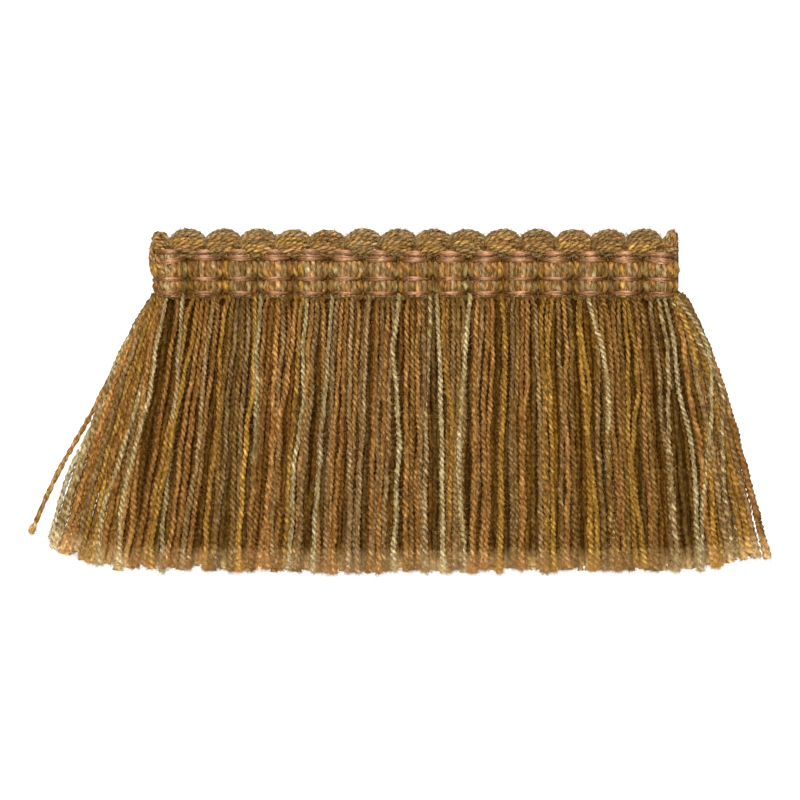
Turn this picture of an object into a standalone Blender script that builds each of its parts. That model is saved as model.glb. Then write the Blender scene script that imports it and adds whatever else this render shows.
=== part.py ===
"""A cut length of brush fringe trim, lying on its back with its skirt spread on the surface.

A row of weft bundles forms the heading. Copper-coloured warp ribbons cross them, the weft turns over in
a loop between neighbouring bundles along the top edge, and the cut yarns hang out below as the skirt.
+X runs along the heading, +Y points from the skirt to the loops, and +Z up from the surface.
The origin is the centre of the heading's flat back.
"""
import math
import random

import bmesh
import bpy
from mathutils import Matrix, Vector

mm = 0.001
GAP = 0.3 * mm
TOUCH = 0.01 * mm

# Heading
PICKS = 15
PICK_PITCH = 7.62 * mm
HEADING_LENGTH = PICKS * PICK_PITCH
HEADING_LOW_Y = -5.1 * mm
HEADING_TOP_Y = 5.0 * mm
RIDGES_PER_PICK = 4
FLOAT_STEPS = 4
DIP_POWER = 3
RIBBON_SEAT_CROWN = 3.9 * mm
RIBBON_SEAT_DIP = 1.3 * mm
WINDOW_CROWN = 4.55 * mm
WINDOW_DIP = 1.2 * mm
WINDOW_BULGE = 0.25 * mm
YARN_RIDGE = 0.2 * mm

# Warp ribbons, from the loops down to the skirt
RIBBON_THICKNESS = 0.45 * mm
RIBBONS = (
    {"name": "ribbon_top", "y": 4.5 * mm, "width": 0.75 * mm},
    {"name": "ribbon_upper", "y": 2.8 * mm, "width": 1.15 * mm},
    {"name": "ribbon_middle", "y": -1.35 * mm, "width": 0.95 * mm},
    {"name": "ribbon_lower", "y": -4.5 * mm, "width": 0.95 * mm},
)
SEAT_MARGIN = GAP
SEAT_WALL = 0.2 * mm

# Loops along the top edge
LOOP_TOP_Y = 9.8 * mm
LOOP_ARCH_RADIUS = 1.95 * mm
LOOP_ROPE_RADIUS = 1.65 * mm
LOOP_ROPE_HEIGHT = 4.3 * mm
LOOP_LOBES = 4
LOOP_LOBE_RELIEF = 0.12
LOOP_TWIST = math.radians(90)
LOOP_ARCH_STEPS = 6
LOOP_LEAN = math.radians(3)
END_LOOPS = (
    {"name": "end_loop_left", "x": -55.4 * mm, "top_y": 8.9 * mm, "arch": 1.1 * mm, "rope": 0.8 * mm},
    {"name": "end_loop_right", "x": 55.4 * mm, "top_y": 9.4 * mm, "arch": 1.1 * mm, "rope": 0.8 * mm},
)

# Skirt
COLUMNS_PER_PICK = 5
COLUMNS = PICKS * COLUMNS_PER_PICK
ROWS = 3
COLUMN_PITCH = HEADING_LENGTH / COLUMNS
ROW_PITCH = 1.5 * mm
ROOT_BACK_Y = HEADING_LOW_Y - GAP
ROOT_DEPTH = 1.5 * mm
ROOT_FRONT_Y = ROOT_BACK_Y - ROOT_DEPTH
STRAND_INSET = 0.19 * mm
STRAND_TIP_WIDTH = 0.9 * mm
STRAND_LENGTH = 58.4 * mm
LENGTH_UNEVENNESS = 1.0 * mm
STRAND_STEPS = 3
SETTLED_AT = 2 / 3
TIP_ROW_PITCH = 1.3 * mm
FAN_LEFT = 21.5 * mm
FAN_RIGHT = 19.2 * mm
FAN_REACH = 9.0 * mm
FLAT_FAN_PITCH = 4.2 * mm
STRAY_LEAN = -26.5 * mm
LEFT_EASE = 1.1
RIGHT_EASE = 0.65
SWAYS = (
    {"reach": 0.8 * mm, "wavelength": 40 * mm, "phase": 0.6},
    {"reach": 0.22 * mm, "wavelength": 15 * mm, "phase": 2.1},
)
BOW = 0.5 * mm
BOW_WAVELENGTH = 38 * mm

COLOURS = {
    "yarn": (0.33, 0.19, 0.07, 1.0),
    "skirt_yarn": (0.30, 0.17, 0.05, 1.0),
    "ribbon": (0.42, 0.20, 0.10, 1.0),
}


def clear_scene():
    for obj in list(bpy.data.objects):
        bpy.data.objects.remove(obj)


def make_material(name, roughness, sheen):
    material = bpy.data.materials.new(name)
    material.use_nodes = True
    shader = material.node_tree.nodes["Principled BSDF"]
    shader.inputs["Base Color"].default_value = COLOURS[name]
    shader.inputs["Roughness"].default_value = roughness
    shader.inputs["Metallic"].default_value = 0.0
    shader.inputs["Sheen Weight"].default_value = sheen
    return material


def add_mesh(name, bm, collection, material):
    mesh = bpy.data.meshes.new(name)
    bm.to_mesh(mesh)
    bm.free()
    mesh.materials.append(material)
    obj = bpy.data.objects.new(name, mesh)
    collection.objects.link(obj)
    return obj


def evenly(low, high, steps):
    return [low + (high - low) * i / steps for i in range(steps + 1)]


def across_pick(x):
    """Where x lies across its weft bundle: 0 at the bundle's middle, 1 at the dimple on either side."""
    along = (x + HEADING_LENGTH / 2) / PICK_PITCH
    return abs(2 * (along - math.floor(along)) - 1) if 0 < along < PICKS else 1.0


def pick_centre(index):
    return (index + 0.5) * PICK_PITCH - HEADING_LENGTH / 2


def seat_height(x):
    """The heading's height under a ribbon, straight between the ribbon's own bends."""
    steps = across_pick(x) * FLOAT_STEPS / 2
    low = math.floor(steps + TOUCH / mm)
    heights = [
        RIBBON_SEAT_CROWN - RIBBON_SEAT_DIP * (2 * k / FLOAT_STEPS) ** DIP_POWER
        for k in (low, low + 1)
    ]
    return heights[0] + (heights[1] - heights[0]) * (steps - low)


def heading_rows():
    """(y, kind) of the heading's rows of points: a seat row, the rim of a window, or its bulged middle."""
    rows = [(HEADING_LOW_Y, "seat")]
    seats = []
    for ribbon in reversed(RIBBONS[1:]):
        reach = ribbon["width"] / 2 + SEAT_MARGIN
        seats.append((ribbon["y"] - reach, ribbon["y"] + reach))
    for (_, seat_end), (next_seat, _) in zip(seats, seats[1:]):
        low, high = seat_end + SEAT_WALL, next_seat - SEAT_WALL
        rows += [
            (seat_end, "seat"),
            (low, "rim"),
            ((low + high) / 2, "middle"),
            (high, "rim"),
            (next_seat, "seat"),
        ]
    rows.append((HEADING_TOP_Y, "seat"))
    return rows


def heading_height(x, column, kind):
    if kind == "seat":
        return seat_height(x)
    crown = WINDOW_CROWN - WINDOW_DIP * across_pick(x) ** DIP_POWER
    ridge = YARN_RIDGE if column % 2 else -YARN_RIDGE
    return crown + ridge + (WINDOW_BULGE if kind == "middle" else 0.0)


def make_heading(collection, material):
    """The woven band: weft bundles side by side, with a seat pressed in for each ribbon and a flat back."""
    columns = PICKS * RIDGES_PER_PICK * 2
    xs = evenly(-HEADING_LENGTH / 2, HEADING_LENGTH / 2, columns)
    rows = heading_rows()
    bm = bmesh.new()
    bmesh.ops.create_grid(bm, x_segments=columns, y_segments=len(rows) - 1, size=0.5)
    for vert in bm.verts:
        column = round((vert.co.x + 0.5) * columns)
        y, kind = rows[round((vert.co.y + 0.5) * (len(rows) - 1))]
        vert.co = (xs[column], y, heading_height(xs[column], column, kind))

    rim = [edge for edge in bm.edges if edge.is_boundary]
    skirted = bmesh.ops.extrude_edge_only(bm, edges=rim)["geom"]
    back_verts = [item for item in skirted if isinstance(item, bmesh.types.BMVert)]
    for vert in back_verts:
        vert.co.z = 0.0
    back_edges = [edge for edge in bm.edges if edge.is_boundary]
    bmesh.ops.contextual_create(bm, geom=back_edges)
    walls = {edge for vert in back_verts for edge in vert.link_edges}
    bmesh.ops.dissolve_limit(
        bm, angle_limit=math.radians(0.5), verts=back_verts, edges=list(walls)
    )
    bmesh.ops.recalc_face_normals(bm, faces=bm.faces)
    return add_mesh("heading", bm, collection, material)


def make_ribbon(ribbon, collection, material):
    """One warp ribbon: a narrow band that floats over each bundle and dips into each dimple."""
    steps = PICKS * FLOAT_STEPS
    half_length = HEADING_LENGTH / 2
    bm = bmesh.new()
    bmesh.ops.create_grid(bm, x_segments=steps, y_segments=1, size=0.5)
    for vert in bm.verts:
        x = vert.co.x * 2 * half_length
        vert.co = (x, ribbon["y"] + vert.co.y * ribbon["width"], seat_height(x) + GAP)
    obj = add_mesh(ribbon["name"], bm, collection, material)
    solidify = obj.modifiers.new("thickness", "SOLIDIFY")
    solidify.thickness = RIBBON_THICKNESS
    solidify.offset = 1.0
    return obj


def rope_section(radius, guides):
    """The lobed section of a loop's yarns, as a closed outline."""
    points = 2 * LOOP_LOBES
    curve = bpy.data.curves.new(f"section_{radius / mm:.2f}", "CURVE")
    curve.dimensions = "2D"
    spline = curve.splines.new("POLY")
    spline.points.add(points - 1)
    for i, point in enumerate(spline.points):
        angle = -2 * math.pi * i / points
        reach = radius * (1 + (LOOP_LOBE_RELIEF if i % 2 == 0 else -LOOP_LOBE_RELIEF) / 2)
        point.co = (reach * math.cos(angle), reach * math.sin(angle), 0.0, 1.0)
    spline.use_cyclic_u = True
    obj = bpy.data.objects.new(curve.name, curve)
    obj.hide_render = True
    obj.display_type = "WIRE"
    guides.objects.link(obj)
    return obj


def make_loop(name, x, top_y, arch, rope, section, collection, material):
    """One loop of weft: a fat half ring on two short legs, its yarns laid round it as a rope."""
    centre_y = top_y - arch - rope
    foot_y = HEADING_TOP_Y + GAP
    path = [Vector((-arch, foot_y - centre_y, 0))]
    for angle in evenly(math.pi, 0, LOOP_ARCH_STEPS):
        path.append(Vector((arch * math.cos(angle), arch * math.sin(angle), 0)))
    path.append(Vector((arch, foot_y - centre_y, 0)))

    curve = bpy.data.curves.new(name, "CURVE")
    curve.dimensions = "3D"
    curve.bevel_mode = "OBJECT"
    curve.bevel_object = section
    curve.use_fill_caps = True
    spline = curve.splines.new("POLY")
    spline.points.add(len(path) - 1)
    for i, (point, place) in enumerate(zip(spline.points, path)):
        point.co = (*place, 1.0)
        point.tilt = LOOP_TWIST * i / (len(path) - 1)
    curve.materials.append(material)

    obj = bpy.data.objects.new(name, curve)
    section_half_height = rope * (1 + LOOP_LOBE_RELIEF / 2)
    obj.scale.z = LOOP_ROPE_HEIGHT / 2 / section_half_height
    obj.rotation_euler.y = LOOP_LEAN
    lift = (arch + rope) * math.sin(LOOP_LEAN)
    obj.location = (x, centre_y, LOOP_ROPE_HEIGHT / 2 + lift)
    collection.objects.link(obj)
    return obj


def fan(x):
    """How far a strand's tip leans from its root at x, outwards near either end of the trim."""
    half_length = HEADING_LENGTH / 2
    left = FAN_LEFT * math.exp(-(x + half_length) / FAN_REACH)
    right = FAN_RIGHT * math.exp((x - half_length) / FAN_REACH)
    sway = sum(
        s["reach"] * math.sin(2 * math.pi * x / s["wavelength"] + s["phase"]) for s in SWAYS
    )
    return right - left + sway


def strand_path(column, row, unevenness):
    """Centres of a strand's sections from its first step to its cut tip."""
    root_x = (column + 0.5) * COLUMN_PITCH - HEADING_LENGTH / 2
    root_z = (row + 0.5) * ROW_PITCH
    spread_x = root_x + (row - (ROWS - 1) / 2) * COLUMN_PITCH / ROWS
    lean = fan(spread_x) + spread_x - root_x
    if column == 0 and row == 0:
        lean = STRAY_LEAN
    length = STRAND_LENGTH + LENGTH_UNEVENNESS * unevenness
    drop = math.sqrt(length**2 - lean**2)

    tip_pitch = COLUMN_PITCH + fan(root_x + COLUMN_PITCH / 2) - fan(root_x - COLUMN_PITCH / 2)
    floor_z = STRAND_TIP_WIDTH / 2
    stacked_z = floor_z + row * TIP_ROW_PITCH
    tip_z = floor_z if tip_pitch > FLAT_FAN_PITCH else stacked_z
    across = (root_x + HEADING_LENGTH / 2) / HEADING_LENGTH
    ease = LEFT_EASE + (RIGHT_EASE - LEFT_EASE) * across
    side_wave = math.sin(2 * math.pi * root_x / BOW_WAVELENGTH)
    path = []
    for t in evenly(0.0, 1.0, STRAND_STEPS)[1:]:
        x = root_x + lean * t**ease + BOW * math.sin(math.pi * t) * side_wave
        z = root_z + (stacked_z - root_z) * min(1.0, t / SETTLED_AT) if t < 1 else tip_z
        path.append((t, Vector((x, ROOT_FRONT_Y - drop * t, z))))
    return path


def grow_strand(bm, face, path):
    """Draws a strand out of its root face, section by section, and narrows it to its tip."""
    centre = face.calc_center_median()
    sides = [
        (math.copysign(1, vert.co.x - centre.x), math.copysign(1, vert.co.z - centre.z))
        for vert in face.verts
    ]
    root_width = (face.verts[0].co.x - centre.x) * sides[0][0] * 2
    root_height = (face.verts[0].co.z - centre.z) * sides[0][1] * 2
    for t, place in path:
        face = bmesh.ops.extrude_discrete_faces(bm, faces=[face])["faces"][0]
        width = root_width + (STRAND_TIP_WIDTH - root_width) * t
        height = root_height + (STRAND_TIP_WIDTH - root_height) * t
        bottom = max(place.z - height / 2, 0.0)
        for vert, (side_x, side_z) in zip(face.verts, sides):
            vert.co = (
                place.x + side_x * width / 2,
                place.y,
                bottom + height * (1 + side_z) / 2,
            )


def make_skirt(collection, material):
    """The cut yarns, fused at their roots in the narrow strip that the last ribbon binds."""
    strip_height = ROWS * ROW_PITCH
    bm = bmesh.new()
    place = (
        Matrix.Translation((0, ROOT_FRONT_Y, strip_height / 2))
        @ Matrix.Rotation(math.radians(90), 4, "X")
        @ Matrix.Diagonal((HEADING_LENGTH / 2, strip_height / 2, 1, 1))
    )
    bmesh.ops.create_grid(bm, x_segments=COLUMNS, y_segments=ROWS, size=1.0, matrix=place)
    front = list(bm.faces)
    back = bmesh.ops.extrude_face_region(bm, geom=front)["geom"]
    for item in back:
        if isinstance(item, bmesh.types.BMVert):
            item.co.y = ROOT_BACK_Y
    bmesh.ops.recalc_face_normals(bm, faces=bm.faces)
    front = [face for face in bm.faces if face.calc_center_median().y < ROOT_FRONT_Y + TOUCH]
    bmesh.ops.inset_individual(bm, faces=front, thickness=STRAND_INSET)

    unevenness = random.Random(7)
    for face in front:
        centre = face.calc_center_median()
        column = int((centre.x + HEADING_LENGTH / 2) / COLUMN_PITCH)
        row = int(centre.z / ROW_PITCH)
        grow_strand(bm, face, strand_path(column, row, unevenness.uniform(-1, 1)))
    return add_mesh("skirt", bm, collection, material)


def build():
    clear_scene()
    trim = bpy.data.collections.new("brush_fringe_trim")
    guides = bpy.data.collections.new("guides")
    for collection in (trim, guides):
        bpy.context.scene.collection.children.link(collection)
    yarn = make_material("yarn", roughness=0.9, sheen=0.3)
    skirt_yarn = make_material("skirt_yarn", roughness=0.9, sheen=0.3)
    ribbon_satin = make_material("ribbon", roughness=0.4, sheen=0.1)

    make_heading(trim, yarn)
    for ribbon in RIBBONS:
        make_ribbon(ribbon, trim, ribbon_satin)
    section = rope_section(LOOP_ROPE_RADIUS, guides)
    for k in range(PICKS - 1):
        x = (pick_centre(k) + pick_centre(k + 1)) / 2
        make_loop(
            f"loop_{k + 1:02d}", x, LOOP_TOP_Y, LOOP_ARCH_RADIUS, LOOP_ROPE_RADIUS, section, trim, yarn
        )
    for end in END_LOOPS:
        section = rope_section(end["rope"], guides)
        make_loop(end["name"], end["x"], end["top_y"], end["arch"], end["rope"], section, trim, yarn)
    make_skirt(trim, skirt_yarn)


build()
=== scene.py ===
"""The looks of a cut length of brush fringe trim: plied yarns, satin warp ribbons and the stray fibres.

Every yarn is a line of points that a Geometry Nodes tree turns into two plies twisted round each other.
Lengths are metres, and MM turns a length in millimetres into metres. The trim lies on the floor, with +X
along the heading, +Y towards the loops and +Z up.
"""
import collections
import math
import random

import bpy
import numpy as np
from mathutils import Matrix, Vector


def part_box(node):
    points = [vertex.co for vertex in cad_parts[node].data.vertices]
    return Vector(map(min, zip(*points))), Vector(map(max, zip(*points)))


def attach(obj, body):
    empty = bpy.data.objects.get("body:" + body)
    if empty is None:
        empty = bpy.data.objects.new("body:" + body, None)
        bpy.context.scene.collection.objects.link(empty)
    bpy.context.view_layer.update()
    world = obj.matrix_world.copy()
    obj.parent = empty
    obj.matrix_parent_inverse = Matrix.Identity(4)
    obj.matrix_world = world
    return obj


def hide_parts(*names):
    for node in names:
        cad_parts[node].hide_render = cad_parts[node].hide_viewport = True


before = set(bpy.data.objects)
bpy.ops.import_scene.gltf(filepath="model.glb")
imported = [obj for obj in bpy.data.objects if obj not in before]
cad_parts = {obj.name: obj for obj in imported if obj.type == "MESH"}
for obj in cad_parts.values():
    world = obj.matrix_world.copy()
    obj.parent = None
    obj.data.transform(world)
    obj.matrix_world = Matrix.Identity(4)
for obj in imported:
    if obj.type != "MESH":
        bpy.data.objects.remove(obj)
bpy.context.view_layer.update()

MM = 0.001
SEED = 41

# The heading, read from the frame
heading_low, heading_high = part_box("heading")
HEADING_LENGTH = heading_high.x - heading_low.x
HEADING_LEFT = heading_low.x
HEADING_TOP = heading_high.y
HEADING_BOTTOM = heading_low.y
PICKS = 15
PICK_PITCH = HEADING_LENGTH / PICKS
YARNS_PER_PICK = 6
CROWN = heading_high.z - 1.05 * MM

# How far from a ribbon the heading's yarns are pressed in
RIBBON_GRIP = 0.9 * MM

# A yarn's section: the radius of its two plies, how far their middles lie from its own, and the height
# of its lumps
PLY_RADIUS = 0.39 * MM
PLY_OFFSET = 0.2 * MM
UNEVENNESS = 0.28 * MM
PACKED = {"radius": 0.48 * MM, "offset": 0.12 * MM}
ROPED = {"radius": 0.43 * MM, "offset": 0.18 * MM}
ROUND = {"radius": 0.6 * MM, "offset": 0.0, "points": 6}
FILAMENT = {"radius": 0.24 * MM, "offset": 0.0, "unevenness": 0.05 * MM, "rings": 14}

# The length in which a yarn's plies turn once
SKIRT_TWIST = 2.6 * MM
HEADING_TWIST = 3.2 * MM
LOOP_TWIST = 3.0 * MM
SLACK_TWIST = 36 * MM

# Points along each line of yarn, and along a ribbon over one bundle
SKIRT_POINTS = 44
STANDOUT_POINTS = 60
WEFT_POINTS = 30
LOOP_POINTS = 28
WRAP_POINTS = 24
RIBBON_POINTS = 14

# Skirt
SKIRT_TOP = HEADING_BOTTOM + 0.6 * MM
YARN_LENGTH = 60.2 * MM
FRAY_START = YARN_LENGTH - 5.0 * MM
FRAY_END = YARN_LENGTH - 0.5 * MM
MIDDLE_YARNS = 86
BACK_YARNS = 94

# How a yarn's lean grows along it, as a power, at the left end and at the right end
LEFT_EASE = 1.1
RIGHT_EASE = 0.62

# How high each row lies, from its roots to its tips, and a standout where it is in front or sunk (mm)
FRONT_HEIGHTS = (3.1, 3.35, 3.2, 3.1, 3.0)
MIDDLE_HEIGHTS = (2.0, 2.15, 2.0, 1.9, 1.8)
BACK_HEIGHTS = (0.9,) * 5
STANDOUT_HEIGHT = 3.75
SUNK_HEIGHT = 2.5
STANDOUT_ROOT_HEIGHT = 3.3

# Stray fibres: their length (mm), how much they stand off, which faces they grow on, and how many more
# of them a cut tip has
SKIRT_FIBRES = {"length": 1.3, "lift": 0.4, "facing": (0.0, 1.1), "tips": 14.0, "bends": 1}
HEADING_FIBRES = {"length": 0.9, "lift": 0.3, "facing": (0.2, 1.1)}
LOOP_FIBRES = {"length": 1.3, "lift": 0.9, "facing": (-0.4, 0.35), "bends": 1, "width": 0.13}

# Dyes, as the eye sees them on the lit side of the yarn (sRGB, 0 to 255)
DYES = {
    "copper": (123, 86, 42),
    "rust": (105, 71, 31),
    "gold": (125, 91, 34),
    "olive": (101, 74, 33),
    "taupe": (107, 83, 50),
    "cream": (130, 113, 76),
    "ribbon": (110, 72, 42),
}
PALE_FIBRE = (192, 162, 112)
WARM_GLOSS = (255, 222, 186)

# The yarns of each weft bundle, from left to right: two plies, or one word where both have the same dye
BUNDLES = (
    "gold copper cream copper rust cream",
    "copper/gold olive copper rust taupe copper",
    "copper/gold olive taupe olive taupe copper",
    "cream copper rust copper taupe rust",
    "copper olive/gold cream/taupe copper taupe copper",
    "copper cream copper copper taupe copper",
    "taupe taupe copper taupe copper cream",
    "gold copper olive copper taupe olive",
    "cream gold/copper rust taupe olive cream",
    "copper copper taupe copper copper gold",
    "rust taupe olive copper copper taupe",
    "gold copper/olive copper taupe/olive copper olive",
    "gold taupe copper cream/olive olive copper",
    "copper olive gold taupe copper olive",
    "taupe copper cream taupe copper/olive gold",
)

# The heading shows less of the brighter dyes
HEADING_MIX = {"cream": "cream/taupe", "copper": "copper/taupe", "gold": "gold/copper"}

# Where a yarn's root lies, and how far its tip leans from there, along the heading (mm)
FAN = (
    (-57.2, -16.5), (-55.8, -14.0), (-54.3, -10.2), (-47.4, -9.9), (-43.0, -6.2),
    (-35.0, -3.6), (-24.0, -4.4), (-18.0, -4.0), (-8.0, -1.6), (-3.6, -0.6),
    (5.0, 0.8), (12.0, -1.4), (20.0, -1.2), (29.0, 0.0), (36.5, 2.6),
    (46.0, 3.6), (51.0, 6.2), (54.0, 9.0), (57.2, 18.5),
)

# Yarns that stand out: dye, places in X at the levels in Y from root to tip (mm), and the first and last
# level where it lies in front, if it doesn't all the way
LEVELS = (-5.9, -15.7, -25.5, -33.8, -42.0, -50.5, -61.0)
STANDOUTS = (
    ("gold", (-56.9, -59.8, -62.8, -65.2, -67.8, -70.3, -72.6)),
    ("gold/copper", (-56.1, -58.5, -60.7, -63.0, -65.2, -67.7, -70.2)),
    ("cream", (-55.2, -57.4, -60.0, -62.6, -64.6, -67.4, -68.8), (3, 6)),
    ("cream", (-54.3, -56.0, -57.6, -60.1, -61.7, -63.5, -64.6)),
    ("cream", (-50.6, -51.3, -52.3, -52.8, -53.4, -54.3, -55.4), (0, 3)),
    ("gold", (-47.4, -48.5, -50.6, -52.8, -54.3, -55.8, -57.3)),
    ("taupe", (-43.9, -45.0, -46.1, -46.9, -47.8, -49.2, -50.2)),
    ("gold", (-34.9, -35.1, -35.2, -36.4, -37.3, -38.0, -38.4), (2, 6)),
    ("cream", (-33.6, -34.3, -34.5, -34.8, -35.2, -35.6, -36.0), (0, 3)),
    ("copper", (-26.0, -27.1, -28.2, -29.7, -31.2, -32.4, -34.1)),
    ("cream", (-23.6, -24.1, -24.3, -25.4, -26.2, -26.5, -27.8)),
    ("cream", (-18.1, -18.9, -19.4, -20.4, -20.9, -21.7, -22.0)),
    ("taupe", (-13.8, -14.0, -14.5, -14.3, -14.1, -14.3, -14.5)),
    ("taupe", (-10.1, -10.6, -11.1, -11.5, -12.0, -12.2, -12.7)),
    ("cream", (-3.6, -4.7, -4.1, -3.6, -4.0, -4.2, -4.5), (0, 4)),
    ("taupe/cream", (3.2, 2.9, 2.5, 2.4, 2.2, 1.7, 2.3), (3, 6)),
    ("cream", (4.7, 5.2, 5.3, 5.6, 5.9, 5.9, 5.9)),
    ("gold", (6.0, 6.2, 7.2, 8.1, 7.6, 7.3, 7.1), (1, 4)),
    ("cream", (11.9, 10.7, 9.8, 9.8, 9.8, 10.1, 10.3), (0, 5)),
    ("gold", (18.8, 19.3, 19.5, 19.2, 18.7, 18.5, 18.1)),
    ("gold", (29.7, 28.8, 29.3, 29.5, 29.7, 29.9, 30.2), (0, 2)),
    ("gold", (35.8, 36.0, 37.6, 37.7, 38.4, 39.0, 39.2)),
    ("cream", (37.6, 40.4, 41.5, 41.9, 42.3, 42.6, 42.8), (0, 3)),
    ("gold", (46.0, 47.5, 48.0, 47.4, 47.4, 48.4, 49.5)),
    ("taupe/cream", (52.8, 54.5, 55.0, 55.1, 55.4, 55.8, 56.9)),
    ("cream", (54.1, 56.2, 57.6, 59.0, 60.2, 61.2, 61.7)),
    ("cream/taupe", (55.8, 61.9, 66.1, 66.5, 67.1, 67.8, 68.7), (2, 4)),
    ("gold", (56.5, 60.3, 62.2, 63.2, 64.1, 64.8, 65.4), (0, 1)),
    ("cream", (57.1, 63.5, 64.5, 63.9, 63.2, 62.8, 62.4), (1, 3)),
)

# The loose yarns that lie apart at the left end: dye, twist, places in X, and the tip's place in Y (mm)
STRAY_ROOT = -5.0
STRAYS = (
    ("copper/gold", 4.8, (-56.5, -64.2, -70.9, -78.2, -84.0), -56.6),
    ("cream", 3.6, (-56.3, -62.6, -69.6, -76.0, -79.6), -57.8),
    ("copper", 3.5, (-56.5, -60.5, -66.9, -72.9, -78.9), -58.2),
    ("rust", 3.5, (-56.3, -60.2, -66.5, -72.2, -77.2), -59.2),
)

# The yarns below the front ones at the two ends, from the outermost inwards: the first root and the last
# (mm), how far their tips lean (mm), the power with which the lean grows, and their dyes
LEFT_DYES = "cream taupe/cream copper copper rust taupe copper gold copper taupe gold rust copper taupe"
RIGHT_DYES = "copper taupe/copper gold/copper cream/taupe copper taupe gold copper"
SIDE_FANS = (
    ((-56.8, -54.4), (-22.9, -8.0), 0.78, LEFT_DYES + " copper gold copper"),
    ((57.4, 55.0), (19.8, 9.0), 0.68, RIGHT_DYES),
)

# Each loop's yarns, from the outermost arch to the innermost
LOOP_DYES = (
    "taupe/cream taupe gold copper/gold copper olive",
    "taupe/cream olive/taupe copper/olive copper/gold copper olive",
    "olive/cream taupe copper/olive olive gold/copper gold",
    "taupe/cream olive/taupe gold gold copper copper",
    "taupe/cream copper/taupe copper/olive gold copper olive",
    "olive/cream taupe copper/olive copper/cream taupe olive",
    "olive/cream copper/taupe taupe copper gold olive",
    "copper/taupe taupe copper/olive gold gold copper",
    "taupe/cream olive/taupe copper/olive gold copper/cream olive",
    "taupe/cream copper/taupe copper/olive copper gold taupe",
    "taupe/cream taupe copper/olive rust copper olive",
    "taupe/cream olive/taupe copper/olive gold gold copper",
    "copper/taupe taupe copper/olive olive copper olive",
    "taupe/cream olive/taupe olive copper gold gold",
)

# The arches (mm): the reach to both sides, the top and the feet in Y, the height, how much lower the right
# foot is, and the shift to the right
Arch = collections.namedtuple("Arch", "reach top foot z slope shift")
ARCHES = (
    Arch(3.85, 9.1, 5.8, 2.2, 0.0, 0.0),
    Arch(3.8, 8.35, 6.3, 2.9, 0.1, 0.05),
    Arch(3.75, 7.4, 6.1, 3.5, 0.2, 0.15),
    Arch(3.6, 6.4, 5.5, 3.9, 0.4, 0.25),
    Arch(3.4, 5.5, 4.9, 4.1, 0.5, 0.35),
    Arch(2.7, 4.7, 4.5, 3.9, 0.4, 0.4),
)
SAG = Arch(2.6, 3.8, 5.0, 3.1, 0.2, 0.1)

# The half loops and wraps at the two cut ends of the heading: dye, height, and places in X and Y (mm)
END_WRAPS = (
    ("rust", 2.6, (-57.0, -56.2, -55.2, -54.2), (7.8, 8.6, 8.4, 7.6)),
    ("copper", 3.4, (-57.2, -56.4, -55.2, -53.9), (7.2, 7.7, 6.7, 5.2)),
    ("copper/gold", 3.8, (-57.2, -56.4, -55.4, -54.2), (6.2, 6.6, 5.7, 4.6)),
    ("olive", 3.6, (-57.1, -56.4, -55.6, -54.6), (5.3, 5.6, 4.9, 4.1)),
    ("taupe", 2.9, (-55.2, -54.5, -53.8, -53.3), (8.5, 8.3, 6.6, 5.0)),
    ("copper", 3.4, (-56.9, -57.4, -57.0, -55.4), (6.8, 4.2, 1.6, -0.4)),
    ("copper/gold", 2.4, (-57.3, -57.6, -57.3, -56.2), (5.2, 3.0, 0.6, -0.9)),
    ("copper", 4.1, (-56.2, -56.0, -55.0, -54.3), (3.9, 2.4, 0.4, -0.6)),
    ("rust", 1.2, (-56.7, -56.0, -55.0, -54.2), (4.8, 6.4, 6.6, 5.2)),
    ("olive", 1.2, (-57.0, -56.4, -55.2, -54.0), (5.6, 7.4, 7.6, 5.6)),
    ("rust", 1.3, (-56.6, -56.6, -56.4, -56.0), (6.0, 4.0, 1.6, -0.6)),
    ("taupe", 2.6, (53.6, 54.1, 54.9, 56.0), (5.0, 6.8, 8.1, 9.3)),
    ("copper", 3.3, (54.2, 54.8, 55.5, 56.2), (4.8, 6.4, 7.8, 9.1)),
    ("copper/olive", 3.7, (54.8, 55.5, 56.1, 56.4), (4.6, 5.6, 6.8, 8.6)),
    ("taupe/copper", 3.0, (55.6, 56.3, 56.6, 56.5), (4.6, 5.6, 6.8, 8.4)),
    ("copper", 2.2, (56.4, 56.8, 56.8, 56.4), (3.6, 4.8, 6.6, 8.6)),
    ("olive", 1.2, (53.2, 54.4, 55.4, 56.0), (5.6, 6.6, 7.6, 8.6)),
    ("olive", 1.9, (54.6, 55.2, 55.6, 56.0), (4.4, 6.0, 7.2, 8.4)),
    ("copper/gold", 4.0, (51.6, 53.4, 55.0, 56.6), (6.7, 6.2, 5.5, 4.8)),
    ("taupe", 3.8, (51.4, 53.2, 55.0, 56.6), (5.6, 5.3, 4.9, 4.3)),
)

# Each ribbon's filaments, the gap between them, how far its first float slants, how far it lies from its
# seat in Y, and how far it rises towards the left end (mm)
Ribbon = collections.namedtuple("Ribbon", "filaments gap slant lift rise")
RIBBONS = {
    "ribbon_top": Ribbon(3, 0.34, 0.0, -0.44, 0.48),
    "ribbon_upper": Ribbon(3, 0.4, -1.5, -0.08, 0.48),
    "ribbon_middle": Ribbon(2, 0.42, -0.2, 0.0, 0.0),
    "ribbon_lower": Ribbon(2, 0.42, 0.0, 0.0, 0.0),
}

# Stage
WHITE = (1.0, 1.0, 1.0, 1.0)
FLOOR_HALF = 2.0
FLOOR_GLOW = 0.95
FLOOR_GAP = 0.02 * MM
VIEW_WIDTH = 174.17 * MM
VIEW_CENTRE = (-3.37 * MM, -27.65 * MM)
FOCUS_HEIGHT = 2.5 * MM


def linear(colour):
    """Turns an sRGB colour of 0 to 255 into the linear one that a shader takes."""
    return tuple(((c / 255 + 0.055) / 1.055) ** 2.4 for c in colour) + (1.0,)


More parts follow.
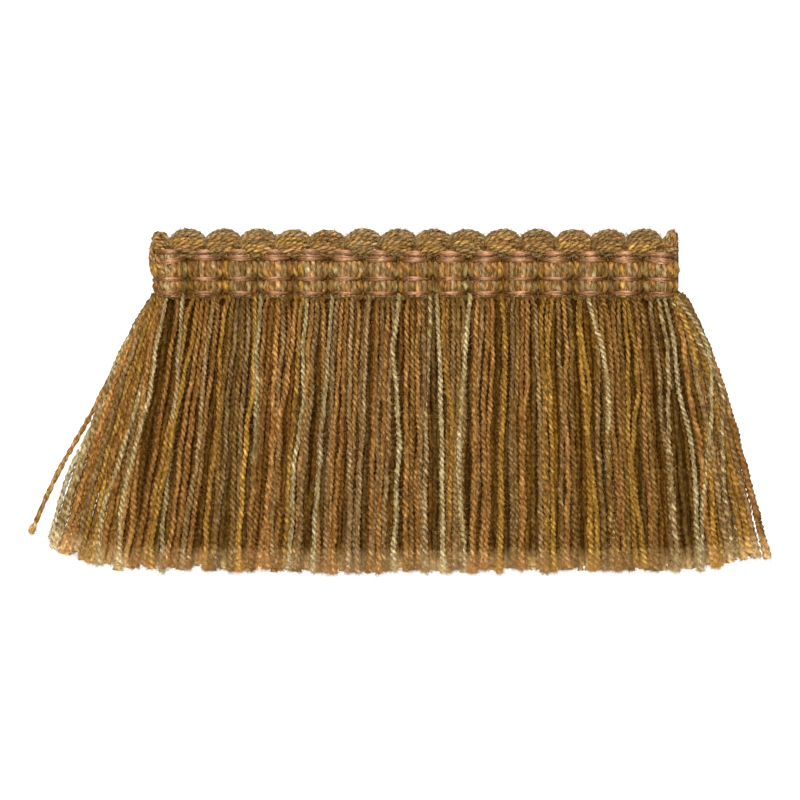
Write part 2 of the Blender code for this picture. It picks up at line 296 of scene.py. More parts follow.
def ease(t):
    t = min(1.0, max(0.0, t))
    return t * t * (3 - 2 * t)


def new_object(name, data):
    obj = bpy.data.objects.new(name, data)
    bpy.context.scene.collection.objects.link(obj)
    return obj


def smooth_path(points, count):
    """A smooth line through given points, with its own points evenly spread."""
    knots = np.array(points, float)
    ends = np.vstack([2 * knots[0] - knots[1], knots, 2 * knots[-1] - knots[-2]])
    curve = []
    for a, b, c, d in zip(ends, ends[1:], ends[2:], ends[3:]):
        for t in np.linspace(0, 1, 12, endpoint=False):
            square = (2 * a - 5 * b + 4 * c - d) * t**2
            cube = (3 * b - a - 3 * c + d) * t**3
            curve.append(0.5 * (2 * b + (c - a) * t + square + cube))
    curve.append(knots[-1])
    curve = np.array(curve)
    lengths = np.concatenate([[0], np.cumsum(np.linalg.norm(np.diff(curve, axis=0), axis=1))])
    even = np.linspace(0, lengths[-1], count)
    return np.column_stack([np.interp(even, lengths, curve[:, axis]) for axis in range(3)])


def across_pick(x):
    """0 at the middle of the weft bundle where x lies, 1 at the dimple on either side of it."""
    along = (x - HEADING_LEFT) / PICK_PITCH
    return abs(2 * (along - math.floor(along)) - 1)


class Yarn:
    """One yarn: the points of its middle line, the dyes of its two plies, its thickness and its twist.

    Painted shade darkens it where it lies deep among the others and makes it redder there.
    """

    def __init__(self, path, word, twist, gauge, chance, tone=1.0):
        self.path = np.array(path, float)
        self.dyes = word.split("/")
        self.twist = twist
        self.gauge = np.broadcast_to(gauge, len(self.path))
        self.phase = chance.uniform(0, 2 * math.pi)
        self.tone = np.broadcast_to(tone, len(self.path))
        level = chance.uniform(0.84, 1.16)
        self.shades = (level * chance.uniform(1.0, 1.14), level * chance.uniform(0.82, 1.0))


# Node tree helpers


def new_tree(name, floats, integers):
    """A node tree with a geometry output, and inputs for geometry, a material and the named numbers."""
    tree = bpy.data.node_groups.new(name, "GeometryNodeTree")
    tree.interface.new_socket("Geometry", in_out="OUTPUT", socket_type="NodeSocketGeometry")
    inputs = [("Geometry", "Geometry"), ("Material", "Material")]
    inputs += [(label, "Float") for label in floats] + [(label, "Int") for label in integers]
    for label, kind in inputs:
        tree.interface.new_socket(label, in_out="INPUT", socket_type=f"NodeSocket{kind}")
    return tree


def add(tree, kind, links=(), **settings):
    """Adds a node, sets its properties, and fills its sockets with values or with other nodes' sockets."""
    node = tree.nodes.new(kind)
    for key, value in settings.items():
        setattr(node, key, value)
    for key, value in dict(links).items():
        if isinstance(value, bpy.types.NodeSocket):
            tree.links.new(value, node.inputs[key])
        else:
            node.inputs[key].default_value = value
    return node


def maths(tree, operation, *values):
    """A number worked out from other numbers or sockets."""
    return add(tree, "ShaderNodeMath", dict(enumerate(values)), operation=operation).outputs[0]


def vector_maths(tree, operation, links):
    """A vector worked out from other vectors or sockets."""
    return add(tree, "ShaderNodeVectorMath", links, operation=operation).outputs[0]


def split(tree, vector):
    return add(tree, "ShaderNodeSeparateXYZ", {"Vector": vector}).outputs


def combine(tree, **parts):
    return add(tree, "ShaderNodeCombineXYZ", parts).outputs["Vector"]


def move(tree, mesh, **links):
    """Moves a mesh's points to a position, or by an offset."""
    return add(tree, "GeometryNodeSetPosition", {"Geometry": mesh, **links}).outputs["Geometry"]


def remap(tree, value, low, high, new_low, new_high):
    links = {"Value": value, "From Min": low, "From Max": high, "To Min": new_low, "To Max": new_high}
    return add(tree, "ShaderNodeMapRange", links).outputs["Result"]


def attribute(tree, name, kind="FLOAT"):
    node = add(tree, "GeometryNodeInputNamedAttribute", {"Name": name}, data_type=kind)
    return node.outputs["Attribute"]


def store(tree, mesh, name, value, kind="FLOAT"):
    links = {"Geometry": mesh, "Name": name, "Value": value}
    return add(tree, "GeometryNodeStoreNamedAttribute", links, data_type=kind).outputs["Geometry"]


def slow_noise(tree, along, scale, start):
    """Smooth random change along a yarn, different for each yarn."""
    place = maths(tree, "MULTIPLY_ADD", along, scale, maths(tree, "MULTIPLY", start, 19.0))
    links = {"W": place, "Scale": 1.0, "Detail": 1.0}
    return add(tree, "ShaderNodeTexNoise", links, noise_dimensions="1D").outputs[0]


def finish_tree(tree, mesh, material):
    """Makes the tree's result plain and smooth, with nothing of it below the floor."""
    mesh = add(tree, "GeometryNodeSetShadeSmooth", {"Geometry": mesh}).outputs["Geometry"]
    mesh = add(tree, "GeometryNodeRealizeInstances", {"Geometry": mesh}).outputs["Geometry"]
    place = add(tree, "GeometryNodeInputPosition").outputs["Position"]
    lowest = (-FLOOR_HALF, -FLOOR_HALF, FLOOR_GAP)
    mesh = move(tree, mesh, Position=vector_maths(tree, "MAXIMUM", {0: place, 1: lowest}))
    mesh = add(tree, "GeometryNodeSetMaterial", {"Geometry": mesh, "Material": material}).outputs["Geometry"]
    add(tree, "NodeGroupOutput", {"Geometry": mesh})
    return tree


def plied_yarn_tree():
    """Sweeps a section of two touching plies along each line, turning it once in each twist length."""
    sizes = ("Ply Radius", "Ply Offset", "Ring Spacing", "Unevenness")
    tree = new_tree("plied_yarn", sizes, ("Section Points",))
    given = add(tree, "NodeGroupInput").outputs

    # The line: evenly spaced rings, each turned a little further than the one before
    curve = add(tree, "GeometryNodeMeshToCurve", {"Mesh": given["Geometry"]}).outputs["Curve"]
    links = {"Curve": curve, "Length": given["Ring Spacing"]}
    curve = add(tree, "GeometryNodeResampleCurve", links, mode="LENGTH").outputs["Curve"]
    along = add(tree, "GeometryNodeSplineParameter").outputs["Length"]
    turns = maths(tree, "DIVIDE", along, attribute(tree, "twist"))
    start = attribute(tree, "phase")
    angle = maths(tree, "MULTIPLY_ADD", turns, -2 * math.pi, start)
    angle = maths(tree, "MULTIPLY_ADD", slow_noise(tree, along, 170.0, start), 3.4, angle)
    slubs = remap(tree, slow_noise(tree, along, 260.0, start), 0.3, 0.7, 0.86, 1.14)
    gauge = maths(tree, "MULTIPLY", attribute(tree, "gauge"), slubs)
    curve = add(tree, "GeometryNodeSetCurveTilt", {"Curve": curve, "Tilt": angle}).outputs["Curve"]
    kept = add(tree, "GeometryNodeCaptureAttribute", {"Geometry": curve})
    for label, value in (("along", along), ("angle", angle), ("gauge", gauge)):
        kept.capture_items.new("FLOAT", label)
        tree.links.new(value, kept.inputs[label])

    # The section: the outline of two circles that overlap
    links = {"Resolution": given["Section Points"], "Radius": 1.0}
    circle = add(tree, "GeometryNodeCurvePrimitiveCircle", links).outputs["Curve"]
    place = add(tree, "GeometryNodeInputPosition").outputs["Position"]
    marked = add(tree, "GeometryNodeCaptureAttribute", {"Geometry": circle})
    marked.capture_items.new("VECTOR", "round")
    tree.links.new(place, marked.inputs["round"])
    parts = split(tree, place)
    side = maths(tree, "MULTIPLY", given["Ply Offset"], maths(tree, "ABSOLUTE", parts["X"]))
    fall = maths(tree, "POWER", maths(tree, "MULTIPLY", given["Ply Offset"], parts["Y"]), 2.0)
    inside = maths(tree, "SUBTRACT", maths(tree, "POWER", given["Ply Radius"], 2.0), fall)
    reach = maths(tree, "ADD", side, maths(tree, "SQRT", inside))
    outline = vector_maths(tree, "SCALE", {0: place, "Scale": reach})
    section = move(tree, marked.outputs["Geometry"], Position=outline)

    links = {"Curve": kept.outputs["Geometry"], "Profile Curve": section, "Scale": kept.outputs["gauge"]}
    links["Fill Caps"] = True
    mesh = add(tree, "GeometryNodeCurveToMesh", links).outputs["Mesh"]

    # What the material reads: the ply's dye, how near its crest a point is, and where its fibres lie
    ply_side = split(tree, marked.outputs["round"])["X"]
    second = maths(tree, "GREATER_THAN", ply_side, 0.0)
    dye = add(tree, "GeometryNodeSwitch", {"Switch": second}, input_type="RGBA")
    tree.links.new(attribute(tree, "dye_a", "FLOAT_COLOR"), dye.inputs["False"])
    tree.links.new(attribute(tree, "dye_b", "FLOAT_COLOR"), dye.inputs["True"])
    mesh = store(tree, mesh, "dye", dye.outputs["Output"], "FLOAT_COLOR")
    mesh = store(tree, mesh, "crest", maths(tree, "ABSOLUTE", ply_side))
    links = {"Vector": marked.outputs["round"], "Angle": kept.outputs["angle"]}
    fibre = add(tree, "ShaderNodeVectorRotate", links, rotation_type="Z_AXIS").outputs["Vector"]
    fibre = split(tree, fibre)
    lay = combine(tree, X=fibre["X"], Y=fibre["Y"], Z=kept.outputs["along"])
    mesh = store(tree, mesh, "lay", lay, "FLOAT_VECTOR")

    # A hand-spun unevenness of the surface
    links = {"Vector": place, "Scale": 2200.0, "Detail": 1.0}
    lumps = add(tree, "ShaderNodeTexNoise", links).outputs["Fac"]
    swell = maths(tree, "MULTIPLY", maths(tree, "SUBTRACT", lumps, 0.5), given["Unevenness"])
    normal = add(tree, "GeometryNodeInputNormal").outputs["Normal"]
    mesh = move(tree, mesh, Offset=vector_maths(tree, "SCALE", {0: normal, "Scale": swell}))
    return finish_tree(tree, mesh, given["Material"])


def stray_fibre_tree():
    """Scatters fine bent fibres over a surface; most of them lie close to it."""
    looks = ("Density", "Length", "Width", "Lift", "Lowest Facing", "Highest Facing", "Tip Density")
    tree = new_tree("stray_fibres", looks, ("Bends", "Seed"))
    given = add(tree, "NodeGroupInput").outputs
    normal = add(tree, "GeometryNodeInputNormal").outputs["Normal"]
    facing = split(tree, normal)["Z"]
    above = maths(tree, "GREATER_THAN", facing, given["Lowest Facing"])
    facing = maths(tree, "MULTIPLY", above, maths(tree, "LESS_THAN", facing, given["Highest Facing"]))
    along = split(tree, attribute(tree, "lay", "FLOAT_VECTOR"))["Z"]
    tip = remap(tree, along, YARN_LENGTH - 4 * MM, YARN_LENGTH - 1 * MM, 0.0, 1.0)
    more = maths(tree, "MULTIPLY_ADD", tip, given["Tip Density"], 1.0)
    density = maths(tree, "MULTIPLY", maths(tree, "MULTIPLY", given["Density"], more), facing)
    links = {"Mesh": given["Geometry"], "Density": density, "Seed": given["Seed"]}
    spread = add(tree, "GeometryNodeDistributePointsOnFaces", links).outputs

    links = {"Vertices": 3, "Side Segments": given["Bends"], "Radius Top": 0.0, "Radius Bottom": 0.5}
    links["Depth"] = 1.0
    fibre = add(tree, "GeometryNodeMeshCone", links).outputs["Mesh"]
    place = add(tree, "GeometryNodeInputPosition").outputs["Position"]
    height = split(tree, place)["Z"]
    bend = maths(tree, "MULTIPLY", maths(tree, "POWER", height, 2.0), 6.0)
    fibre = move(tree, fibre, Offset=combine(tree, X=bend))

    def random_value(kind, low, high, seed):
        node = add(tree, "FunctionNodeRandomValue", data_type=kind)
        sockets = [s for s in node.inputs if s.enabled]
        sockets[0].default_value = low
        sockets[1].default_value = high
        tree.links.new(maths(tree, "ADD", given["Seed"], seed), node.inputs["Seed"])
        return [s for s in node.outputs if s.enabled][0]

    raised = vector_maths(tree, "SCALE", {0: spread["Normal"], "Scale": given["Lift"]})
    wild = random_value("FLOAT_VECTOR", (-1.0, -1.0, -1.0), (1.0, 1.0, 1.0), 1)
    aim = vector_maths(tree, "ADD", {0: raised, 1: wild})
    turn = add(tree, "FunctionNodeAlignRotationToVector", {"Vector": aim}, axis="Z").outputs["Rotation"]
    spin = combine(tree, Z=random_value("FLOAT", 0.0, 6.28, 2))
    spin = add(tree, "FunctionNodeEulerToRotation", {"Euler": spin}).outputs["Rotation"]
    links = {"Rotation": turn, "Rotate By": spin}
    turn = add(tree, "FunctionNodeRotateRotation", links, rotation_space="LOCAL").outputs["Rotation"]
    length = maths(tree, "MULTIPLY", given["Length"], random_value("FLOAT", 0.4, 1.3, 3))
    size = combine(tree, X=given["Width"], Y=given["Width"], Z=length)
    links = {"Points": spread["Points"], "Instance": fibre, "Rotation": turn, "Scale": size}
    mesh = add(tree, "GeometryNodeInstanceOnPoints", links).outputs["Instances"]
    return finish_tree(tree, mesh, given["Material"])


def run_tree(obj, tree, values):
    """Evaluates a tree on an object and keeps the result as the object's own plain mesh."""
    modifier = obj.modifiers.new("shape", "NODES")
    modifier.node_group = tree
    for item in tree.interface.items_tree:
        if item.in_out == "INPUT" and item.name in values:
            modifier[item.identifier] = values[item.name]
    graph = bpy.context.evaluated_depsgraph_get()
    mesh = bpy.data.meshes.new_from_object(obj.evaluated_get(graph))
    obj.modifiers.remove(modifier)
    mesh.materials.clear()
    mesh.materials.append(values["Material"])
    mesh.polygons.foreach_set("material_index", np.zeros(len(mesh.polygons), np.int32))
    mesh.name = obj.name
    old = obj.data
    obj.data = mesh
    bpy.data.meshes.remove(old)
    return obj


def lines_object(name, yarns):
    """The yarns' middle lines as one mesh of edges, with each yarn's facts on its points."""
    points = []
    edges = []
    start = 0
    for yarn in yarns:
        count = len(yarn.path)
        points.append(yarn.path)
        edges += [(start + i, start + i + 1) for i in range(count - 1)]
        start += count
    mesh = bpy.data.meshes.new(name)
    mesh.from_pydata(np.vstack(points).tolist(), edges, [])

    def keep(label, kind, rows):
        layer = mesh.attributes.new(label, kind, "POINT")
        key = "color" if kind == "FLOAT_COLOR" else "value"
        layer.data.foreach_set(key, np.concatenate(rows).astype(np.float32).ravel())

    def dyed(yarn, ply):
        # Painted shade and painted highlight scale each channel; the darker, the redder
        deep = yarn.tone[:, None] ** np.array([1.0, 1.17, 1.9, 0.0])
        return deep * yarn.shades[ply] * np.array(linear(DYES[yarn.dyes[-ply]]))

    keep("twist", "FLOAT", [np.full(len(yarn.path), yarn.twist) for yarn in yarns])
    keep("phase", "FLOAT", [np.full(len(yarn.path), yarn.phase) for yarn in yarns])
    keep("gauge", "FLOAT", [yarn.gauge for yarn in yarns])
    keep("dye_a", "FLOAT_COLOR", [dyed(yarn, 0) for yarn in yarns])
    keep("dye_b", "FLOAT_COLOR", [dyed(yarn, 1) for yarn in yarns])
    return new_object(name, mesh)


YARN_TREE = plied_yarn_tree()
FIBRE_TREE = stray_fibre_tree()


def yarn_piece(name, yarns, material, nodes, slot, points=8, rings=7, **section):
    """Builds one piece of yarns, with so many rings in each turn, and gives it its place in the part."""
    twist = sum(yarn.twist for yarn in yarns) / len(yarns)
    values = {
        "Ply Radius": section.get("radius", PLY_RADIUS),
        "Ply Offset": section.get("offset", PLY_OFFSET),
        "Section Points": points,
        "Ring Spacing": twist / rings,
        "Unevenness": section.get("unevenness", UNEVENNESS),
        "Material": material,
    }
    obj = run_tree(lines_object(name, yarns), YARN_TREE, values)
    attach(obj, "root")
    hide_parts(*nodes)
    return obj


def fibre_piece(source, material, count, seed, length, lift, facing, tips=0.0, bends=2, width=0.085):
    """Scatters about count stray fibres over a piece of yarns, as a piece of their own."""
    obj = new_object(f"{source.name}_fibres", source.data.copy())
    area = sum(face.area for face in source.data.polygons)
    values = {
        "Density": count / area,
        "Length": length * MM,
        "Width": width * MM,
        "Bends": bends,
        "Lift": lift,
        "Lowest Facing": facing[0],
        "Highest Facing": facing[1],
        "Tip Density": tips,
        "Seed": seed,
        "Material": material,
    }
    run_tree(obj, FIBRE_TREE, values)
    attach(obj, "root")


# Materials


def new_material(name, roughness, gloss, **settings):
    material = bpy.data.materials.new(name)
    material.use_nodes = True
    shader = material.node_tree.nodes["Principled BSDF"]
    settings.update({"Roughness": roughness, "Specular IOR Level": gloss})
    for key, value in settings.items():
        shader.inputs[key].default_value = value
    return material, material.node_tree, shader


def read(tree, name, output):
    """What the pieces' points keep under that name."""
    return add(tree, "ShaderNodeAttribute", attribute_name=name).outputs[output]


def paint(tree, shader, colour, paleness):
    """Gives the shader a colour, mixed with that of pale loose fibres."""
    pale = add(tree, "ShaderNodeMix", {"Factor": paleness}, data_type="RGBA")
    tree.links.new(colour, pale.inputs["A"])
    pale.inputs["B"].default_value = linear(PALE_FIBRE)
    tree.links.new(pale.outputs["Result"], shader.inputs["Base Color"])


def yarn_material(name, roughness, gloss, streak, groove, wound=0.0, fuzz=0.0, frayed=1.0, flat=0.0):
    """Spun yarn: the dye of each ply, streaked along its fibres, with painted shade between the plies.

    Wound is how strongly its fibres show winding round it, fuzz the share of pale loose fibres on its
    surface, and frayed how much paler its cut end is.
    Flat lets filaments that lie side by side along X shine as one flat ribbon.
    """
    specular = {"Specular Tint": linear(WARM_GLOSS)}
    material, tree, shader = new_material(name, roughness, gloss, **specular)
    lay = read(tree, "lay", "Vector")
    shift = combine(tree, Z=maths(tree, "MULTIPLY", read(tree, "phase", "Fac"), 0.7))
    own_place = vector_maths(tree, "ADD", {0: lay, 1: shift})

    def noise(scale, detail):
        stretched = add(tree, "ShaderNodeMapping", {"Vector": own_place, "Scale": scale}).outputs["Vector"]
        links = {"Vector": stretched, "Scale": 1.0, "Detail": detail, "Roughness": 0.65}
        return add(tree, "ShaderNodeTexNoise", links).outputs["Fac"]

    streaks = remap(tree, noise((1.5, 1.5, 900.0), 4.0), 0.36, 0.64, 1 - streak, 1 + streak)
    patches = remap(tree, noise((0.5, 0.5, 220.0), 2.0), 0.36, 0.64, 0.75, 1.3)
    # Painted shade in the crevice between the plies: groove is the share of colour left there
    painted_groove_shade = remap(tree, read(tree, "crest", "Fac"), 0.0, 0.85, groove, 1.0)
    shade = maths(tree, "MULTIPLY", maths(tree, "MULTIPLY", streaks, patches), painted_groove_shade)
    parts = split(tree, lay)
    along = parts["Z"]
    turn = maths(tree, "MULTIPLY", maths(tree, "ARCTAN2", parts["Y"], parts["X"]), 2.0)
    turn = maths(tree, "MULTIPLY_ADD", along, 2 * math.pi / (1.35 * MM), turn)
    winding = maths(tree, "MULTIPLY_ADD", maths(tree, "SINE", turn), wound, 1.0)
    shade = maths(tree, "MULTIPLY", shade, winding)
    ends = remap(tree, along, FRAY_START, FRAY_END, 1.0, frayed)
    shade = maths(tree, "MULTIPLY", shade, ends)
    green = maths(tree, "POWER", shade, 1.22)
    blue = maths(tree, "POWER", shade, 1.7)
    tint = combine(tree, X=shade, Y=green, Z=blue)
    shaded = vector_maths(tree, "MULTIPLY", {0: read(tree, "dye", "Color"), 1: tint})
    hairs = remap(tree, noise((7.0, 7.0, 500.0), 2.0), 0.45, 0.7, 0.0, 2 * fuzz)
    hairs = maths(tree, "MULTIPLY_ADD", maths(tree, "SUBTRACT", ends, 1.0), 0.25, hairs)
    paint(tree, shader, shaded, hairs)
    normal = add(tree, "ShaderNodeNewGeometry").outputs["Normal"]
    normal = vector_maths(tree, "MULTIPLY", {0: normal, 1: (1.0, 1.0 - flat, 1.0)})
    normal = vector_maths(tree, "NORMALIZE", {0: normal})
    relief = noise((6.0, 6.0, 1700.0), 4.0)
    links = {"Height": relief, "Strength": 0.6, "Distance": 0.12 * MM, "Normal": normal}
    tree.links.new(add(tree, "ShaderNodeBump", links).outputs["Normal"], shader.inputs["Normal"])
    return material


def fibre_material(name, brightness, paleness):
    """The stray fibres: the dye of the yarn they come from, brighter at its cut end."""
    material, tree, shader = new_material(name, 0.8, 0.2)
    along = split(tree, read(tree, "lay", "Vector"))["Z"]
    shade = remap(tree, along, FRAY_START, FRAY_END, brightness, 1.9 * brightness)
    shown = vector_maths(tree, "SCALE", {0: read(tree, "dye", "Color"), "Scale": shade})
    paint(tree, shader, shown, paleness)
    return material


# Skirt


def tip_gauge(base, chance, swell=0.28):
    """Thickness along a skirt yarn: slimmer where it is bound in, with a flared cut end."""
    t = np.linspace(0, 1, SKIRT_POINTS)
    flare = chance.uniform(0.12, 0.45) * np.clip((t - 0.94) / 0.06, 0, 1)
    return base * (0.92 + swell * t + flare)


def rest_on_floor(z, gauge=1.0):
    return max(z, (PLY_RADIUS + PLY_OFFSET) * gauge)


def skirt_yarn(line, heights, word, chance, gauge=1.0, tone=1.0, swell=0.28, twist=SKIRT_TWIST, wave=1.0):
    """A skirt yarn that follows line(t) across and down, waving slightly, at the given heights."""
    gauge = tip_gauge(gauge * chance.uniform(0.92, 1.08), chance, swell)
    short = (chance.uniform(0.05, 0.17) * MM, chance.uniform(7, 15), chance.uniform(0, 6.3))
    long = (chance.uniform(0.08, 0.42) * MM, chance.uniform(24, 48), chance.uniform(0, 6.3))
    steps = np.linspace(0, 1, SKIRT_POINTS)
    path = []
    for i, t in enumerate(steps):
        x, y = line(t)
        along = t * YARN_LENGTH / MM
        fade = wave * min(1.0, t * 5)
        for size, pitch, start in (short, long):
            x += fade * size * math.sin(2 * math.pi * along / pitch + start)
        z = float(np.interp(t, np.linspace(0, 1, len(heights)), heights))
        z += fade * short[0] * math.sin(2 * math.pi * along / short[1] + 2 * short[2])
        path.append((x, y, rest_on_floor(z, gauge[i])))
    # Painted shade, darker near the root; where a yarn is darkened as a deep one, less so at its tip
    tone = tone * (0.72 + 0.28 * np.clip(12 * steps, 0, 1))
    tone = tone + np.maximum(0, 0.72 - tone) * np.clip((steps - 0.93) / 0.07, 0, 1)
    return Yarn(path, word, twist * chance.uniform(0.88, 1.15), gauge, chance, tone)


def fan_line(root_x, lean, length, pinch=0.18, power=None):
    """The middle line of a skirt yarn that fans out evenly, pinched in with its bundle at the root."""
    across = min(1.0, max(0.0, (root_x - HEADING_LEFT) / HEADING_LENGTH))
    power = power or LEFT_EASE + (RIGHT_EASE - LEFT_EASE) * across
    drop = math.sqrt(length**2 - lean**2)
    pick = math.floor((root_x - HEADING_LEFT) / PICK_PITCH)
    middle = HEADING_LEFT + (pick + 0.5) * PICK_PITCH
    bound = middle + (1 - pinch) * (root_x - middle)

    def line(t):
        return bound + (root_x - bound) * ease(t / 0.07) + lean * t**power, SKIRT_TOP - drop * t

    return line


def lean_at(x):
    roots, leans = np.array(FAN).T * MM
    return float(np.interp(x, roots, leans))


def gathered(count, chance, strength):
    """Groups neighbouring yarns, which draw together towards their tips: each yarn's group and pull."""
    groups = []
    while len(groups) < count:
        size = chance.choice((2, 3, 3, 4, 5))
        middle = len(groups) + (size - 1) / 2
        pull = strength * chance.uniform(0.15, 0.6)
        shift = strength * chance.gauss(0, 0.5) * MM
        longer = chance.gauss(0, 0.3) * MM
        groups += [(middle, pull, shift, longer)] * size
    return groups[:count]


def roots_for_even_tips(count, evenness):
    """Places along the heading for count yarns: evenly spaced there, or so that their tips are."""
    roots = HEADING_LEFT + (np.arange(400) + 0.5) / 400 * HEADING_LENGTH
    tips = np.array([x + evenness * lean_at(x) for x in roots])
    steps = (np.arange(count) + 0.5) / count
    return np.interp(tips[0] + steps * (tips[-1] - tips[0]), tips, roots)


def fanned_row(words, heights, seed, unevenness, tone, strength=1.0, shorter=0.0, evenness=0.0, **look):
    """A row of yarns across the whole heading, drawn together in small groups, at heights in millimetres.

    Those at the two ends get less painted shade, as little lies above them there.
    """
    chance = random.Random(seed)
    count = len(words)
    groups = gathered(count, chance, strength)
    roots = roots_for_even_tips(count, evenness)
    yarns = []
    for i, word in enumerate(words):
        root_x = roots[i]
        middle, pull, shift, longer = groups[i]
        lean = lean_at(root_x) + (middle - i) * pull * HEADING_LENGTH / count
        lean += shift + strength * chance.gauss(0, 0.25) * MM
        length = YARN_LENGTH - shorter + longer + chance.gauss(0, 0.22) * MM
        levels = [height * MM + chance.uniform(-unevenness, unevenness) * MM for height in heights]
        line = fan_line(root_x, lean, length, 0.28 * strength)
        shade = tone + max(0, 0.85 - tone) * ease((abs(root_x) / MM - 54.0) / 2.5)
        yarns.append(skirt_yarn(line, levels, word, chance, tone=shade, **look))
    return yarns


def side_fans():
    """The yarns that splay out from the cut ends, below the front ones."""
    chance = random.Random(SEED + 5)
    yarns = []
    for roots, leans, power, dyes in SIDE_FANS:
        words = dyes.split()
        for i, word in enumerate(words):
            t = (i + 0.5) / len(words)
            root_x = roots[0] + (roots[1] - roots[0]) * t
            lean = leans[0] + (leans[1] - leans[0]) * t + chance.gauss(0, 0.3)
            height = (1.2 + 1.2 * (i % 3) * t) * MM
            length = YARN_LENGTH + chance.gauss(-0.2, 0.6) * MM
            line = fan_line(root_x * MM, lean * MM, length, power=power)
            yarns.append(skirt_yarn(line, (height, height), word, chance, gauge=1.36, tone=0.92))
    return yarns


def front_yarns():
    """The yarns that show in front, in the order of the weft bundles, with the standouts in their places."""
    words = [word.replace("cream", "taupe") for bundle in BUNDLES for word in bundle.split()]
    roots = [HEADING_LEFT + (i + 0.5) * HEADING_LENGTH / len(words) for i in range(len(words))]
    yarns = fanned_row(words, FRONT_HEIGHTS, SEED, unevenness=0.5, tone=0.92, gauge=1.05, swell=0.36)
    along = np.linspace(0, 1, STANDOUT_POINTS)
    tip = len(LEVELS) - 1
    chance = random.Random(SEED + 1)
    taken = set()
    for dye, across, *front in STANDOUTS:
        free = [i for i in range(len(words)) if i not in taken]
        nearest = min(free, key=lambda i: abs(roots[i] - across[0] * MM))
        taken.add(nearest)
        length = YARN_LENGTH + chance.gauss(0, 0.3) * MM
        places = [(x * MM, y * MM, 0) for x, y in zip(across, LEVELS)]
        places.insert(0, (places[0][0], SKIRT_TOP, 0))
        curve = smooth_path(places, STANDOUT_POINTS)
        reach = length / np.linalg.norm(np.diff(curve, axis=0), axis=1).sum()

        def line(t, curve=curve, reach=reach):
            x, y = (float(np.interp(t * reach, along, curve[:, axis])) for axis in range(2))
            return x, y - max(0.0, t * reach - 1.0) * YARN_LENGTH

        first, last = front[0] if front else (0, tip)
        levels = [(STANDOUT_HEIGHT if first <= i <= last else SUNK_HEIGHT) * MM for i in range(tip + 1)]
        levels[0] = STANDOUT_ROOT_HEIGHT * MM
        edge = ease(-(across[tip] + 62) / 12)
        levels = [z - (i / tip) * edge * 1.9 * MM for i, z in enumerate(levels)]
        yarns[nearest] = skirt_yarn(line, levels, dye, chance)
    return yarns


def under_words(count, seed):
    chance = random.Random(seed)
    common = ["copper"] * 4 + ["rust"] * 2 + ["olive"] * 6 + ["taupe"] * 4
    kinds = common + ["gold", "copper/gold", "olive/gold"]
    return [chance.choice(kinds) for _ in range(count)]


def stray_yarns():
    chance = random.Random(SEED + 2)
    yarns = []
    for dye, twist, across, tip in STRAYS:
        places = []
        for i, x in enumerate(across):
            t = i / (len(across) - 1)
            y = STRAY_ROOT + (tip - STRAY_ROOT) * t
            places.append((x * MM, y * MM, (2.2 - 1.6 * ease(2 * t)) * MM))
        path = smooth_path(places, SKIRT_POINTS)
        yarns.append(Yarn(path, dye, twist * MM, tip_gauge(0.94, chance), chance, 1.25))
    return yarns


# Heading


def heading_yarns(crown, seed, full=1.0, pinched=1.0, tone=1.0, twist=HEADING_TWIST):
    """The weft bundles: yarns side by side, bulging in the windows and pressed in under each ribbon."""
    chance = random.Random(seed)
    words = [word for bundle in BUNDLES for word in bundle.split()]
    waists = [sum(p.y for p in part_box(name)) / 2 for name in RIBBONS]
    yarns = []
    for i, word in enumerate(words):
        pick, j = divmod(i, YARNS_PER_PICK)
        middle = HEADING_LEFT + (pick + 0.5) * PICK_PITCH
        offset = (j - (YARNS_PER_PICK - 1) / 2) * PICK_PITCH / YARNS_PER_PICK
        if not pinched and i + 1 < len(words):
            middle += 0.5 * PICK_PITCH / YARNS_PER_PICK
        outwards = abs(offset) / (PICK_PITCH / 2)
        word = HEADING_MIX.get(word, word)
        size = chance.uniform(1.12, 1.26)
        path = []
        tones_and_painted_light = []
        gauges = []
        for y in np.linspace(HEADING_TOP + 0.8 * MM, HEADING_BOTTOM - 0.4 * MM, WEFT_POINTS):
            pinch = max(math.exp(-(((y - waist) / RIBBON_GRIP) ** 2)) for waist in waists)
            x = middle + offset * (1.03 - 0.2 * pinched * pinch)
            z = crown - full * (0.8 + 1.0 * pinch) * MM * outwards**2.2 - 0.45 * MM * pinch * pinched
            path.append((x, y, z))
            # Painted shade: darker to the sides of each bundle and in the dimples by the ribbons
            shade = 1.1 - 0.42 * outwards**2 - 0.66 * pinch * outwards**4
            # Lighter towards the top of the heading
            shade *= 0.9 + 0.2 * (y - HEADING_BOTTOM) / (HEADING_TOP - HEADING_BOTTOM)
            # Painted shade above the top ribbon, among the loops' feet
            shade *= 1 - 0.7 * ease((y - waists[0]) / RIBBON_GRIP)
            tones_and_painted_light.append(tone * max(shade, 0.06) * (0.85 if "cream" in word else 1.0))
            gauges.append(size * (1.16 - 0.16 * pinch))
        yarns.append(Yarn(path, word, twist * chance.uniform(0.85, 1.2), gauges, chance, tones_and_painted_light))
    return yarns


